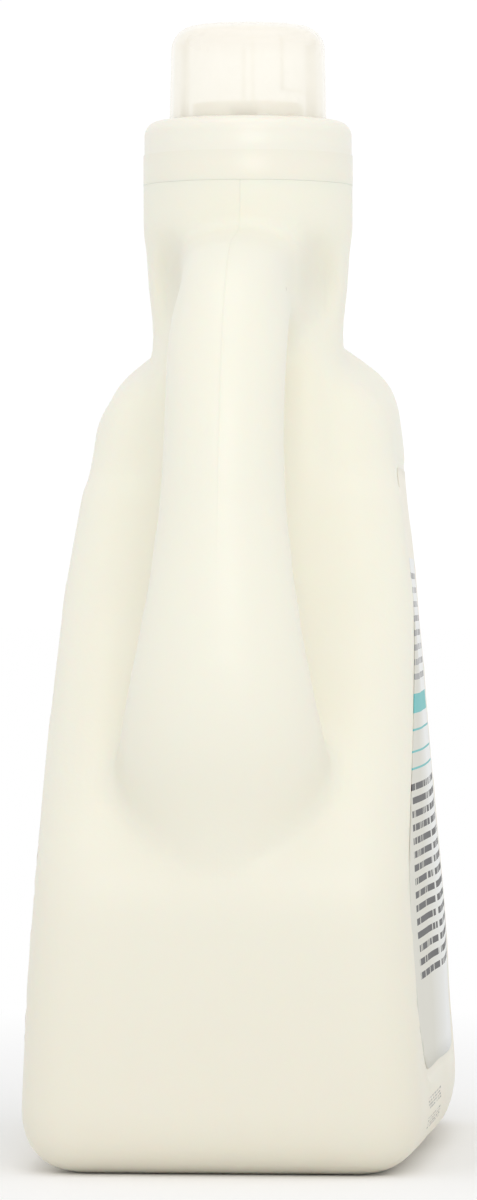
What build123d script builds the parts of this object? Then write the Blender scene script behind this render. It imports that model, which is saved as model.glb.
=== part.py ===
from build123d import *
import os
from math import cos, degrees, hypot, radians, sin, tan

# Laundry detergent bottle of the two-litre class: a blow-moulded bottle with a
# hollow side handle, a pressed-on pouring spout with a drain-back well, and a
# measuring cap that screws into the well.
#
# Millimetres, +Z up.  The origin is the middle of the bottle's footprint, on
# the surface it stands on.  The handle is on the +X side, the front label
# faces -Y and the back label faces +Y.

# ---------------------------------------------------------------- bottle body
BODY_LENGTH = 168.0  # along X at the foot, without the handle's bulge
BODY_WIDTH = 96.5  # along Y, across the middle of the label faces at the foot
MIDDLE_WIDTH = 86.0  # across the label faces at MIDDLE_HEIGHT
MIDDLE_HEIGHT = 100.0
SHOULDER_WIDTH = 70.0  # across the label faces at their top edge
SHOULDER_HEIGHT = 183.0
FACE_CROWN = 1250.0  # radius of the label faces in plan
WALL = 1.2
CORNER_RADIUS = 13.0  # upright corners of the body
FOOT_RADIUS = 12.0  # rounding between the sides and the underside
SHOULDER_RADIUS = 15.0
FAR_SIDE_LEAN = 4.0  # how far the side away from the handle leans in
FAR_SHOULDER_HEIGHT = 158.0
FAR_SHOULDER_RADIUS = 34.0
GRIP_WALL_FOOT = 128.0  # height where the wall behind the fingers flares out
GRIP_WALL_REACH = 28.0  # how far that wall moves out on its way down
GRIP_FLARE_RADIUS = 40.0
HEEL_HEIGHT = 68.0  # where the side under the handle turns upright
HEEL_RADIUS = 30.0

# ----------------------------------------------------------------------- neck
NECK_OFFSET = 11.9  # of the neck's axis from the origin, away from the handle
NECK_FOOT_RADIUS = 22.8
NECK_FOOT_HEIGHT = 194.0
NECK_BURIED = 14.0  # how far the neck runs on down inside the shoulders
ROOF_HEIGHT = 198.0  # flat top of the body, hidden inside the neck
ROOF_HALF = 16.0
NECK_TOP_HEIGHT = 230.5
FINISH_HEIGHT = 13.0  # the thinner ring above the neck that the collar grips
FINISH_WALL = 1.6

# ------------------------------------------- handle, measured from the neck axis
BEND_X = 27.0  # centre of the upper bend
BEND_Z = 159.0
BEND_RADIUS = 47.0  # of the handle's middle line
GRIP_DEPTH = 28.0  # across the grip, in the plane of the bend
GRIP_WIDTH = 28.0  # along Y at the narrowest place
BEND_SECTIONS = (  # turn in degrees, extra depth and extra width
    (0.0, 0.0, 6.0),
    (25.0, 0.0, 1.0),
    (52.0, 0.0, 0.0),
)
GRIP_SECTIONS = (  # height, turn, extra depth and extra width
    (140.0, 80.0, 1.0, 4.0),
    (118.0, 84.0, 3.0, 11.0),
)
BURIED_SECTIONS = (  # distance out, height, turn, extra depth and extra width
    (2.0, 206.0, 0.0, 6.0, 12.0),
    (78.0, 98.0, 96.0, 12.0, 19.0),
    (70.0, 80.0, 110.0, 16.0, 17.0),
)
GRIP_LEAN = 10.0  # degrees that the grip leans out below the bend
GRIP_BULGE = 6.8  # how far the handle stands out past the side under it

# --------------------------------------------------------------- label panels
PANEL_DEPTH = 0.5
PANEL_MARGIN = 13.0  # from the body's outline to the panel
PANEL_BOTTOM = 20.0
PANEL_TOP = 165.0
PANEL_FAR_RADIUS = 30.0  # lower corner away from the handle, and the heel's
PANEL_NEAR_RADIUS = 24.0  # lower corner under the handle
PANEL_HIGH_RADIUS = 12.0
LABEL_THICKNESS = 0.2
LABEL_MARGIN = 2.5  # from the panel's edge to the label

# --------------------------------------------------------------- push-up base
FOOT_RING = 9.0  # flat ring that it stands on, inside the foot rounding
PUSH_UP = 5.0
PUSH_UP_TAPER = 40.0

# -------------------------------------------------------------- spout fitment
COLLAR_RADIUS = 25.2
COLLAR_WALL = 1.5
COLLAR_TOP_RADIUS = 2.7
COLLAR_GAP = 0.3  # between the collar's lower edge and the neck
COLLAR_STEP = 0.2  # from the neck's upper edge out to the collar
FLANGE = 2.5  # thickness of the collar's top
FINISH_CLEARANCE = 0.1  # between the neck finish and the collar
SNAP_BEAD = 0.4  # bead on the neck finish that holds the collar
SNAP_BEAD_HEIGHT = 2.0
WELL_WALL = 1.4
SPOUT_RADIUS = 13.2
SPOUT_WALL = 1.3
SPOUT_RISE = 4.2  # above the collar
SPOUT_SLANT = 5.0  # degrees, lower towards the handle
DRAIN_SLOT = 5.6
DRAIN_FALL = 2.0

# -------------------------------------------------------------- measuring cap
CAP_RADIUS = 18.9  # where it enters the collar
CAP_TOP_RADIUS = 18.4
CAP_RISE = 23.5  # above the collar
CAP_CROWN = 1.4
CAP_CORNER = 5.2
CAP_WALL = 1.3
CAP_PLUG = 14.0  # depth of the threaded part inside the collar
RIB_COUNT = 6
RIB_SIZE = 0.7
RIB_TURN = 7.8  # degrees of the first rib, from the handle's side
RIB_FOOT = 0.5  # above the collar
RIB_HEAD = 4.3  # below the top
DOSE_MARK_SIZE = 0.4
DOSE_MARK_HEIGHT = 6.7  # above the collar
DOSE_MARK_TURN = 31.8  # degrees of its upright stroke, from the handle's side
DOSE_MARK_ARC = 29.0  # degrees

# ----------------------------------------------------------------- cap thread
THREAD_STARTS = 3
THREAD_LEAD = 12.0  # rise in one turn
THREAD_TURN = 200.0  # degrees of one ridge
RIDGE_HEIGHT = 1.1
RIDGE_CREST = 0.8
RIDGE_ROOT = 1.6
RIDGE_BURIED = 0.3  # how far a ridge is sunk into its wall
THREAD_CLEARANCE = 0.35  # radial, from crest to wall
RIDGE_LIFT = 2.5  # of the cap's ridges above its rim

# ------------------------------------------------------------------ seal ring
SEAL_THICKNESS = 1.2
SEAL_GAP = 0.3

# ------------------------------------------------------------------ modelling
OVERLAP = 1.0  # how far joined and cutting forms run into each other

# ----------------------------------------------------------------- worked out
NECK_X = -NECK_OFFSET
NECK_AXIS = Location((NECK_X, 0, 0))
FINISH_TOP = NECK_TOP_HEIGHT + FINISH_HEIGHT
NECK_TOP_RADIUS = COLLAR_RADIUS - COLLAR_STEP
FINISH_RADIUS = COLLAR_RADIUS - COLLAR_WALL - FINISH_CLEARANCE
COLLAR_TOP = FINISH_TOP + FLANGE
CAP_RIM = COLLAR_TOP - CAP_PLUG
WELL_SEAT = CAP_RIM - SEAL_THICKNESS - SEAL_GAP
WELL_RADIUS = CAP_RADIUS + RIDGE_HEIGHT + THREAD_CLEARANCE
BEAD_HEIGHT = NECK_TOP_HEIGHT + FINISH_HEIGHT / 3
FAR_X = -(BODY_LENGTH + GRIP_BULGE) / 2
HEEL_X = FAR_X + BODY_LENGTH


def outline(points, radii):
    """A closed outline with each corner rounded by its own radius."""
    return make_face(FilletPolyline(*points, radius=radii, close=True))


def front_outline(inset):
    """The body seen from the front, without neck and handle, in X and Z."""
    points = [
        (FAR_X, 0),
        (FAR_X + FAR_SIDE_LEAN, FAR_SHOULDER_HEIGHT),
        (NECK_X - ROOF_HALF, ROOF_HEIGHT),
        (NECK_X + ROOF_HALF, ROOF_HEIGHT),
        (NECK_X + ROOF_HALF + GRIP_WALL_REACH, GRIP_WALL_FOOT),
        (HEEL_X, HEEL_HEIGHT),
        (HEEL_X, 0),
    ]
    radii = [0, FAR_SHOULDER_RADIUS, 0, 0, GRIP_FLARE_RADIUS, HEEL_RADIUS, 0]
    return Plane.XZ * offset(outline(points, radii), -inset, kind=Kind.INTERSECTION)


def side_outline(inset):
    """The body seen from the side, in Y and Z: label faces and sloping shoulders."""
    slope = (ROOF_HEIGHT - SHOULDER_HEIGHT) / (SHOULDER_WIDTH / 2 - ROOF_HALF)
    drop = inset * hypot(1, slope)
    foot = BODY_WIDTH / 2 - inset
    middle = MIDDLE_WIDTH / 2 - inset
    shoulder = SHOULDER_WIDTH / 2 - inset
    high = SHOULDER_HEIGHT - drop + inset * slope
    roof = ROOF_HEIGHT - drop
    right = ThreePointArc((foot, inset), (middle, MIDDLE_HEIGHT), (shoulder, high))
    top = Polyline((shoulder, high), (ROOF_HALF, roof), (-ROOF_HALF, roof), (-shoulder, high))
    left = ThreePointArc((-shoulder, high), (-middle, MIDDLE_HEIGHT), (-foot, inset))
    face = make_face([right, top, left, Line((-foot, inset), (foot, inset))])
    corners = face.vertices().filter_by(lambda v: abs(v.Y - high) < 0.01)
    return Plane.YZ * fillet(corners, SHOULDER_RADIUS - inset)


def side_slab(inset):
    """Everything between the two crowned label faces, moved in by the inset."""
    axis = Axis((0, BODY_WIDTH / 2 - FACE_CROWN, 0), (0, 0, 1))
    half_turn = degrees(BODY_LENGTH / FACE_CROWN)
    bent = revolve(side_outline(inset).rotate(axis, -half_turn), axis, 2 * half_turn)
    return bent & mirror(bent, Plane.XZ)


def body_block(inset):
    """Front and side outlines crossed, with the upright corners rounded."""
    front = extrude(front_outline(inset), BODY_WIDTH, both=True)
    block = front & side_slab(inset)
    corners = block.edges().filter_by(lambda e: abs(e.tangent_at(0.5).Z) > 0.05)
    block = fillet(corners, CORNER_RADIUS - inset)
    foot = block.faces().sort_by(Axis.Z)[0].edges()
    return fillet(foot, FOOT_RADIUS - inset)


def neck_block(inset):
    """The round neck: a slight cone whose foot is buried in the shoulders."""
    spread = (NECK_TOP_RADIUS - NECK_FOOT_RADIUS) / (NECK_TOP_HEIGHT - NECK_FOOT_HEIGHT)
    low = NECK_FOOT_HEIGHT - NECK_BURIED
    top = NECK_TOP_HEIGHT - inset
    low_radius = NECK_FOOT_RADIUS - NECK_BURIED * spread - inset
    points = [(0, low), (low_radius, low), (NECK_TOP_RADIUS - inset, top), (0, top)]
    return NECK_AXIS * revolve(Plane.XZ * make_face(Polyline(*points, close=True)), Axis.Z)


def on_bend(turn):
    """Middle of the handle where its upper bend has turned this far down."""
    angle = radians(turn)
    return BEND_X + BEND_RADIUS * sin(angle), BEND_Z + BEND_RADIUS * cos(angle)


def on_grip(height):
    """Middle of the straight grip at this height."""
    x, z = on_bend(90 - GRIP_LEAN)
    return x + (z - height) * tan(radians(GRIP_LEAN)), height


def handle_stations():
    """Along the handle: middle point, downward turn, extra depth and extra width."""
    root, *foot = [((out, z), turn, deep, wide) for out, z, turn, deep, wide in BURIED_SECTIONS]
    lean = 90 - GRIP_LEAN
    bend = [(on_bend(turn), turn, deep, wide) for turn, deep, wide in BEND_SECTIONS]
    grip = [(on_grip(z), turn, deep, wide) for z, turn, deep, wide in GRIP_SECTIONS]
    return [root, *bend, (on_bend(lean), lean, 0, 0), *grip, *foot]


def handle_block(inset):
    """The handle as one smooth tube of oval sections, buried at both ends."""
    sections = []
    for (x, z), turn, deep, wide in handle_stations():
        heading = (cos(radians(turn)), 0, -sin(radians(turn)))
        plane = Plane((NECK_X + x, 0, z), x_dir=(0, 1, 0), z_dir=heading)
        half_width = (GRIP_WIDTH + wide) / 2 - inset
        half_depth = (GRIP_DEPTH + deep) / 2 - inset
        sections.append(plane * Ellipse(half_width, half_depth))
    return loft(sections)


def push_up_block(inset):
    """The hollow under the base, with sloping sides."""
    rim = FOOT_RADIUS + FOOT_RING - inset
    rounding = CORNER_RADIUS / 2 + inset
    face = RectangleRounded(BODY_LENGTH - 2 * rim, BODY_WIDTH - 2 * rim, rounding)
    middle = Location(((FAR_X + HEEL_X) / 2, 0, 0))
    return middle * extrude(face, PUSH_UP + inset, taper=PUSH_UP_TAPER)


def bottle_form(inset):
    """The whole bottle below its neck finish; the cavity is the same form inset."""
    return body_block(inset) + neck_block(inset) + handle_block(inset) - push_up_block(inset)


def ring(outer, inner, low, high):
    """A plain ring about the neck axis."""
    face = Pos((outer + inner) / 2, (low + high) / 2) * Rectangle(outer - inner, high - low)
    return NECK_AXIS * revolve(Plane.XZ * face, Axis.Z)


def disc(radius, low, high):
    """A plain disc about the neck axis."""
    return NECK_AXIS * Pos(0, 0, (low + high) / 2) * Cylinder(radius, high - low)


def panel_outline(margin):
    """The label panel, or the label itself, in X and Z."""
    far = FAR_X + PANEL_MARGIN
    near = HEEL_X - PANEL_MARGIN
    grip = NECK_X + ROOF_HALF - PANEL_MARGIN
    slope = GRIP_WALL_REACH / (ROOF_HEIGHT - GRIP_WALL_FOOT)
    points = [
        (far, PANEL_BOTTOM),
        (far + FAR_SIDE_LEAN, PANEL_TOP),
        (grip + slope * (ROOF_HEIGHT - PANEL_TOP), PANEL_TOP),
        (grip + GRIP_WALL_REACH, GRIP_WALL_FOOT),
        (near, HEEL_HEIGHT),
        (near, PANEL_BOTTOM),
    ]
    upper = [PANEL_HIGH_RADIUS, PANEL_HIGH_RADIUS]
    radii = [PANEL_FAR_RADIUS, *upper, GRIP_FLARE_RADIUS, PANEL_FAR_RADIUS, PANEL_NEAR_RADIUS]
    return Plane.XZ * offset(outline(points, radii), -margin)


def panel_prism(margin):
    """The panel's outline, right through the body."""
    return extrude(panel_outline(margin), BODY_WIDTH, both=True)


def make_bottle():
    """One blown shell with a hollow handle, panels, push-up base and neck finish."""
    shell = bottle_form(0) + disc(FINISH_RADIUS, NECK_TOP_HEIGHT - OVERLAP, FINISH_TOP)
    bead_top = BEAD_HEIGHT + SNAP_BEAD_HEIGHT
    shell += ring(FINISH_RADIUS + SNAP_BEAD, FINISH_RADIUS - OVERLAP, BEAD_HEIGHT, bead_top)
    shell -= panel_prism(0) - side_slab(PANEL_DEPTH)
    cavity = bottle_form(WALL)
    bore_foot = NECK_TOP_HEIGHT - WALL - OVERLAP
    cavity += disc(FINISH_RADIUS - FINISH_WALL, bore_foot, FINISH_TOP + OVERLAP)
    return shell - cavity


def make_label(face_sign):
    """Thin film that lies on the floor of its panel; the sign picks the face."""
    film = panel_prism(LABEL_MARGIN) & side_slab(PANEL_DEPTH - LABEL_THICKNESS)
    film -= side_slab(PANEL_DEPTH)
    return film.solids().sort_by(Axis.Y)[0 if face_sign < 0 else -1]


def helical_ridge(wall_radius, rise, low, start):
    """One thread ridge on a wall; a negative rise stands inwards."""
    root = -RIDGE_BURIED if rise > 0 else RIDGE_BURIED
    path = Helix(THREAD_LEAD, THREAD_LEAD * THREAD_TURN / 360, wall_radius)
    plane = Plane(path @ 0, x_dir=(1, 0, 0), z_dir=path % 0)
    points = [
        (root, -RIDGE_ROOT / 2),
        (rise, -RIDGE_CREST / 2),
        (rise, RIDGE_CREST / 2),
        (root, RIDGE_ROOT / 2),
    ]
    section = plane * make_face(Polyline(*points, close=True))
    ridge = sweep(section, path, is_frenet=True)
    return NECK_AXIS * Pos(0, 0, low) * Rot(0, 0, start) * ridge


def thread(wall_radius, rise, low):
    """All starts of the thread, evenly spaced."""
    starts = [360 * k / THREAD_STARTS for k in range(THREAD_STARTS)]
    return [helical_ridge(wall_radius, rise, low, start) for start in starts]


def spout_tube():
    """The pouring tube, cut on a slant and slotted on the handle side."""
    top = COLLAR_TOP + SPOUT_RISE
    low = WELL_SEAT - DRAIN_FALL - WELL_WALL
    tube = ring(SPOUT_RADIUS, SPOUT_RADIUS - SPOUT_WALL, low, top + SPOUT_RADIUS)
    slant = Plane((NECK_X, 0, top), z_dir=(sin(radians(SPOUT_SLANT)), 0, cos(radians(SPOUT_SLANT))))
    tube = split(tube, bisect_by=slant, keep=Keep.BOTTOM)
    slot_low = WELL_SEAT - DRAIN_FALL
    slot_height = top + SPOUT_RADIUS - slot_low
    slot = Box(4 * SPOUT_WALL, DRAIN_SLOT, slot_height)
    return tube - NECK_AXIS * Pos(SPOUT_RADIUS, 0, slot_low + slot_height / 2) * slot


def well():
    """The cup inside the collar: threaded wall, flat seat and a sloping drain floor."""
    under = WELL_SEAT - WELL_WALL
    outer = WELL_RADIUS + WELL_WALL
    seat = CAP_RADIUS - 2 * CAP_WALL
    points = [
        (WELL_RADIUS, COLLAR_TOP - FLANGE),
        (WELL_RADIUS, WELL_SEAT),
        (seat, WELL_SEAT),
        (SPOUT_RADIUS - SPOUT_WALL / 2, WELL_SEAT - DRAIN_FALL),
        (SPOUT_RADIUS - SPOUT_WALL / 2, under - DRAIN_FALL),
        (seat, under),
        (outer, under),
        (outer, COLLAR_TOP - FLANGE),
    ]
    return NECK_AXIS * revolve(Plane.XZ * make_face(Polyline(*points, close=True)), Axis.Z)


def collar():
    """The visible ring: a skirt that snaps over the neck finish, and its flange."""
    low = NECK_TOP_HEIGHT + COLLAR_GAP
    body = disc(COLLAR_RADIUS, low, COLLAR_TOP)
    body = fillet(body.edges().sort_by(Axis.Z)[-1], COLLAR_TOP_RADIUS)
    body -= disc(COLLAR_RADIUS - COLLAR_WALL, low - OVERLAP, FINISH_TOP)
    body -= disc(WELL_RADIUS, low, COLLAR_TOP + OVERLAP)
    groove_low = BEAD_HEIGHT - FINISH_CLEARANCE
    groove_high = BEAD_HEIGHT + SNAP_BEAD_HEIGHT + FINISH_CLEARANCE
    groove_radius = FINISH_RADIUS + SNAP_BEAD + FINISH_CLEARANCE
    return body - ring(groove_radius, FINISH_RADIUS - OVERLAP, groove_low, groove_high)


def make_spout_fitment():
    """Collar, threaded well and spout, moulded as one."""
    fitment = collar() + well() + spout_tube()
    half_pitch = THREAD_LEAD / THREAD_STARTS / 2
    for ridge in thread(WELL_RADIUS, -RIDGE_HEIGHT, CAP_RIM + RIDGE_LIFT + half_pitch):
        fitment += ridge
    return fitment


def cap_form(inset):
    """The upside-down cup as a full body; the inside is the same form inset."""
    points = [
        (0, CAP_RIM),
        (CAP_RADIUS - inset, CAP_RIM),
        (CAP_RADIUS - inset, COLLAR_TOP),
        (CAP_TOP_RADIUS - inset, COLLAR_TOP + CAP_RISE - CAP_CROWN - inset),
        (0, COLLAR_TOP + CAP_RISE - inset),
    ]
    radii = [0, 0, 0, CAP_CORNER - inset, 0]
    return NECK_AXIS * revolve(Plane.XZ * outline(points, radii), Axis.Z)


def cap_rib(angle, size, foot):
    """One thin upright rib on the inside of the cup, from this far above the collar."""
    inner = CAP_TOP_RADIUS - CAP_WALL - size
    outer = CAP_TOP_RADIUS - CAP_WALL / 4
    height = CAP_RISE - foot - RIB_HEAD
    place = Pos((outer + inner) / 2, 0, COLLAR_TOP + foot + height / 2)
    return NECK_AXIS * Rot(0, 0, angle) * place * Box(outer - inner, size, height)


def dose_line():
    """A short raised line inside the cup that marks a dose."""
    inner = CAP_TOP_RADIUS - CAP_WALL - DOSE_MARK_SIZE
    outer = CAP_TOP_RADIUS - CAP_WALL / 4
    place = Pos((inner + outer) / 2, COLLAR_TOP + DOSE_MARK_HEIGHT)
    bar = place * Rectangle(outer - inner, DOSE_MARK_SIZE)
    turned = revolve(Plane.XZ * bar, Axis.Z, DOSE_MARK_ARC)
    return NECK_AXIS * Rot(0, 0, DOSE_MARK_TURN) * turned


def make_measuring_cap():
    """The cup with its ribs, dose mark and outside thread."""
    cap = cap_form(0) - cap_form(CAP_WALL)
    for k in range(RIB_COUNT):
        cap += cap_rib(RIB_TURN + 360 * k / RIB_COUNT, RIB_SIZE, RIB_FOOT)
    cap += cap_rib(DOSE_MARK_TURN, DOSE_MARK_SIZE, DOSE_MARK_HEIGHT)
    cap += dose_line()
    for ridge in thread(CAP_RADIUS, RIDGE_HEIGHT, CAP_RIM + RIDGE_LIFT):
        cap += ridge
    return cap


def make_seal_ring():
    """Soft ring under the rim of the cup."""
    return ring(CAP_RADIUS, CAP_RADIUS - CAP_WALL, CAP_RIM - SEAL_THICKNESS, CAP_RIM)


if __name__ == "__main__":
    os.makedirs("parts", exist_ok=True)
    export_step(make_bottle(), "parts/bottle.step")
    export_step(make_spout_fitment(), "parts/spout_fitment.step")
    export_step(make_measuring_cap(), "parts/measuring_cap.step")
    export_step(make_seal_ring(), "parts/seal_ring.step")
    export_step(make_label(-1), "parts/front_label.step")
    export_step(make_label(1), "parts/back_label.step")
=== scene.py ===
from math import exp, pi, radians, sqrt, tau

import bmesh
import bpy
from bpy.props import FloatProperty, FloatVectorProperty, IntProperty, PointerProperty
from mathutils import Matrix, Vector
from mathutils.bvhtree import BVHTree


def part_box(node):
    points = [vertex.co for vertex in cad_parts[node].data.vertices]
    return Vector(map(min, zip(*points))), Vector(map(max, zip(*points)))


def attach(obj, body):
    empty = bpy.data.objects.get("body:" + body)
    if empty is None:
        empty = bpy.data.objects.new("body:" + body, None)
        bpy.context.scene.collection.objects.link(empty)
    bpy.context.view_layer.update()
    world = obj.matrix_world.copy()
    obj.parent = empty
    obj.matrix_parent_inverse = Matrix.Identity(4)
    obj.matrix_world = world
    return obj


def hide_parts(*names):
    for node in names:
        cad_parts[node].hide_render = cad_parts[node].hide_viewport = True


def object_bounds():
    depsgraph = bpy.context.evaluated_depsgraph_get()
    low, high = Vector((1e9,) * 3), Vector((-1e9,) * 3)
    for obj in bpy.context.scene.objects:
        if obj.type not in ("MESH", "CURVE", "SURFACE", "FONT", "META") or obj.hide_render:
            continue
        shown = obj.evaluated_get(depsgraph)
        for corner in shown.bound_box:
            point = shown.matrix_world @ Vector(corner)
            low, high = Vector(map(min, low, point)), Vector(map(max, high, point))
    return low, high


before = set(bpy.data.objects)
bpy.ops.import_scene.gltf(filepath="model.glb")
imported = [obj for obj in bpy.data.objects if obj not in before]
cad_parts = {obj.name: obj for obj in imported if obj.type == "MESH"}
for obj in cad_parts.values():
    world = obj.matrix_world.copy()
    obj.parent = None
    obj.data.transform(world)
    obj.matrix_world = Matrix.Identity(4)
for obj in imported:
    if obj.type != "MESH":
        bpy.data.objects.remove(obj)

bl_info = {
    "name": "Laundry detergent bottle",
    "version": (1, 0, 0),
    "blender": (4, 5, 0),
    "location": "View3D > Sidebar > Detergent",
    "description": "Models and finishes a blow-moulded detergent bottle around its construction model",
    "category": "Object",
}

MM = 0.001
LATHE_STEPS = 96
CAD_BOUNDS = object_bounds()
BOTTLE_LOW, BOTTLE_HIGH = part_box("bottle")
FITMENT_LOW, FITMENT_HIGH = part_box("spout_fitment")
CAP_LOW, CAP_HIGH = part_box("measuring_cap")
SEAL_LOW, SEAL_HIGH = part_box("seal_ring")
LABEL_LOW, LABEL_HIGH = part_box("back_label")
FINISH_TOP = BOTTLE_HIGH.z
NECK_X = (FITMENT_LOW.x + FITMENT_HIGH.x) / 2
NECK_AXIS = Vector((NECK_X, 0, 0))
UP = Vector((0, 0, 1))
COLLAR_RADIUS = (FITMENT_HIGH.y - FITMENT_LOW.y) / 2
FLANGE = 2.5 * MM  # thickness of the collar's top
COLLAR_TOP = FINISH_TOP + FLANGE
CAP_RADIUS = (SEAL_HIGH.y - SEAL_LOW.y) / 2
CAD_FOOT_RADIUS = 12 * MM  # rounding of the construction model's foot
BODY_LENGTH = 168 * MM  # along X at the foot
FOOT_HIGH_X = BOTTLE_LOW.x + BODY_LENGTH  # the body's end under the handle
LABEL_GLUE = 0.05 * MM
WELL_GAP = 0.35 * MM  # between the cap's thread and the wall of the well
SEAL_GAP = 0.3 * MM  # between the seal ring and the seat of the well
COLLAR_GAP = 0.015 * MM  # between the neck's upper edge and the collar
FINISH_GAP = 0.1 * MM  # between the neck finish and the collar
LIP_ROUND = 0.3 * MM  # rounding of the edges of the thin walls

# Where the body is shaped.  A pair gives where a change starts and where it is full, unless it
# says otherwise.
SHOULDER_SIDE = (15 * MM, 24 * MM)  # distance from the middle plane
SHOULDER_FOOT = (152 * MM, 172 * MM)  # heights where the lowering starts
SHOULDER_HEAD = (192 * MM, 203 * MM)  # heights where it ends
SHOULDER_END = (-36 * MM, 4 * MM)  # along the bottle, towards the handle
FACE_SIDE = (10 * MM, 38 * MM)
FACE_MIDDLE = (-20 * MM, 20 * MM)
NEAR_SWELLS = ((1.45, 128 * MM, 28 * MM), (-0.5, 60 * MM, 16 * MM))  # millimetres, height, reach
FAR_SWELLS = ((1.3, 14 * MM, 16 * MM), (1.2, 50 * MM, 25 * MM))
HOLLOW_SIDE = (17 * MM, 4.4 * MM)  # distance from the middle plane, and reach
HOLLOW_HEIGHT = (206 * MM, 9 * MM)  # height, and reach
HOLLOW_FACING = (-12 * MM, 2 * MM)
HOLLOW_PRESS = (0.95, 0.2)  # shares of the depth along the bottle and across it
# where the painted shade in the thumb hollows lies
SHADE_CENTRE = (4 * MM, 16.5 * MM, 208 * MM)
SHADE_RADII = (14 * MM, 6.5 * MM, 12 * MM)
NECK_FOOT = (194 * MM, 207 * MM)  # heights where the neck grows fuller
NECK_HEAD = (214 * MM, 222 * MM)  # heights where it turns a true round
NECK_REACH = (27 * MM, 32 * MM)  # from the neck's axis, so that the handle stays as it is
NECK_FULLER = 0.6 * MM
PANEL_BAND = 2.2 * MM  # width on each side of the panel's edge that gets finer faces
PANEL_WALL = (-1.0 * MM, 0.4 * MM)
BEAD_PLACE = (1.0 * MM, 0.8 * MM)  # distance outside the panel, and reach
BEAD_FADE = (20 * MM, 50 * MM)

# colours of the finishes, and of painted shade and painted light
BARE_PLASTIC = (0.905, 0.868, 0.752)
# painted shade, darker and warmer towards the foot
FOOT_PAINTED_SHADE = (0.81, 0.75, 0.63)
WARM_CLOUD = (0.93, 0.865, 0.745)
# painted shade in the thumb hollows
HOLLOW_SHADE = (0.76, 0.73, 0.63)
SPECK = (0.45, 0.41, 0.33)
PARTING_LINE = (0.62, 0.58, 0.48)
CODE_INK = (0.10, 0.10, 0.09)
DULL_BAND = (0.85, 0.815, 0.69)
# painted light on the spout, inside the cap
SPOUT_PAINTED_LIGHT = (1.0, 0.975, 0.9)
WARM_CROWN = (0.96, 0.90, 0.79)
FILM_WHITE = (0.87, 0.88, 0.87)
# painted shade on the back label towards the handle
FILM_PAINTED_SHADE = (0.70, 0.685, 0.60)

# places on the labels, in metres along the bottle and up
COLUMNS = ((-0.062, -0.008), (-0.004, 0.050))
PRINT_LEFT = COLUMNS[0][0]
PRINT_RIGHT = COLUMNS[1][1]
LOWER_TEXT = (0.0434, 0.0885)
UPPER_TEXT = (0.1105, 0.1385)
BLOCK = (0.1045, 0.1090)
RULES = (0.1004, 0.0954, 0.0915)
RULE_HEIGHT = 0.5 * MM
PAINTED_SHADE_FADE = (-0.02, 0.022)  # where the painted shade towards the handle starts and is full
LABEL_EDGE = 0.08  # past both ends of a label
LABEL_HEAD = 0.170  # past the top of a label
PRINT_TOP = 0.141  # above it the back label has the bottle's colour
FIELD_LOW = 0.118  # lower edge of the front label's coloured field
RING_X = -0.019
RING_Z = 0.100
INNER_Z = 0.0935
BAR_ROWS = ((0.030, 0.0485), (0.036, 0.0425), (0.024, 0.0365))  # half length, height
BAR_HEIGHT = 0.0028


# ------------------------------------------------------------------- settings
class DetergentShell(bpy.types.PropertyGroup):
    grain: FloatProperty(
        name="Grain", description="Spacing of the skin's faces",
        default=2.2 * MM, unit="LENGTH")
    evening: IntProperty(
        name="Evening", description="Smoothing passes over the whole skin",
        default=4, min=0)
    neck_top: FloatProperty(
        name="Neck top", description="Height of the neck's upper edge, just under the collar",
        default=FITMENT_LOW.z + 3.4 * MM, unit="LENGTH")
    neck_edge: FloatProperty(
        name="Neck edge", description="Rounding of the neck's upper edge",
        default=0.04 * MM, unit="LENGTH")
    neck_radius: FloatProperty(
        name="Neck radius", description="Radius of the neck just under the collar",
        default=COLLAR_RADIUS - 0.05 * MM, unit="LENGTH")
    finish_radius: FloatProperty(
        name="Finish radius", description="Radius of the thin ring that the collar grips",
        default=COLLAR_RADIUS - 1.7 * MM, unit="LENGTH")
    wall: FloatProperty(
        name="Wall", description="Thickness of the blown wall",
        default=1.2 * MM, unit="LENGTH")
    foot_radius: FloatProperty(
        name="Foot radius", description="Rounding of the edge that the bottle stands on",
        default=13 * MM, unit="LENGTH")
    shoulder_drop: FloatProperty(
        name="Shoulder drop", description="How much lower the shoulders are on the handle's side",
        default=6.5 * MM, unit="LENGTH")
    hollow: FloatProperty(
        name="Thumb hollow", description="Depth of the hollows beside the handle's upper root",
        default=11 * MM, unit="LENGTH")
    panel_margin: FloatProperty(
        name="Panel margin", description="From the label's edge to the edge of its panel",
        default=2.5 * MM, unit="LENGTH")
    panel_depth: FloatProperty(
        name="Panel depth", description="How deep the label panel is sunk",
        default=0.25 * MM, unit="LENGTH")
    panel_bead: FloatProperty(
        name="Panel bead", description="Height of the fine bead around the panel",
        default=0.25 * MM, unit="LENGTH")
    colour: FloatVectorProperty(
        name="Colour", description="Colour of the bottle's plastic",
        default=BARE_PLASTIC, subtype="COLOR")


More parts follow.
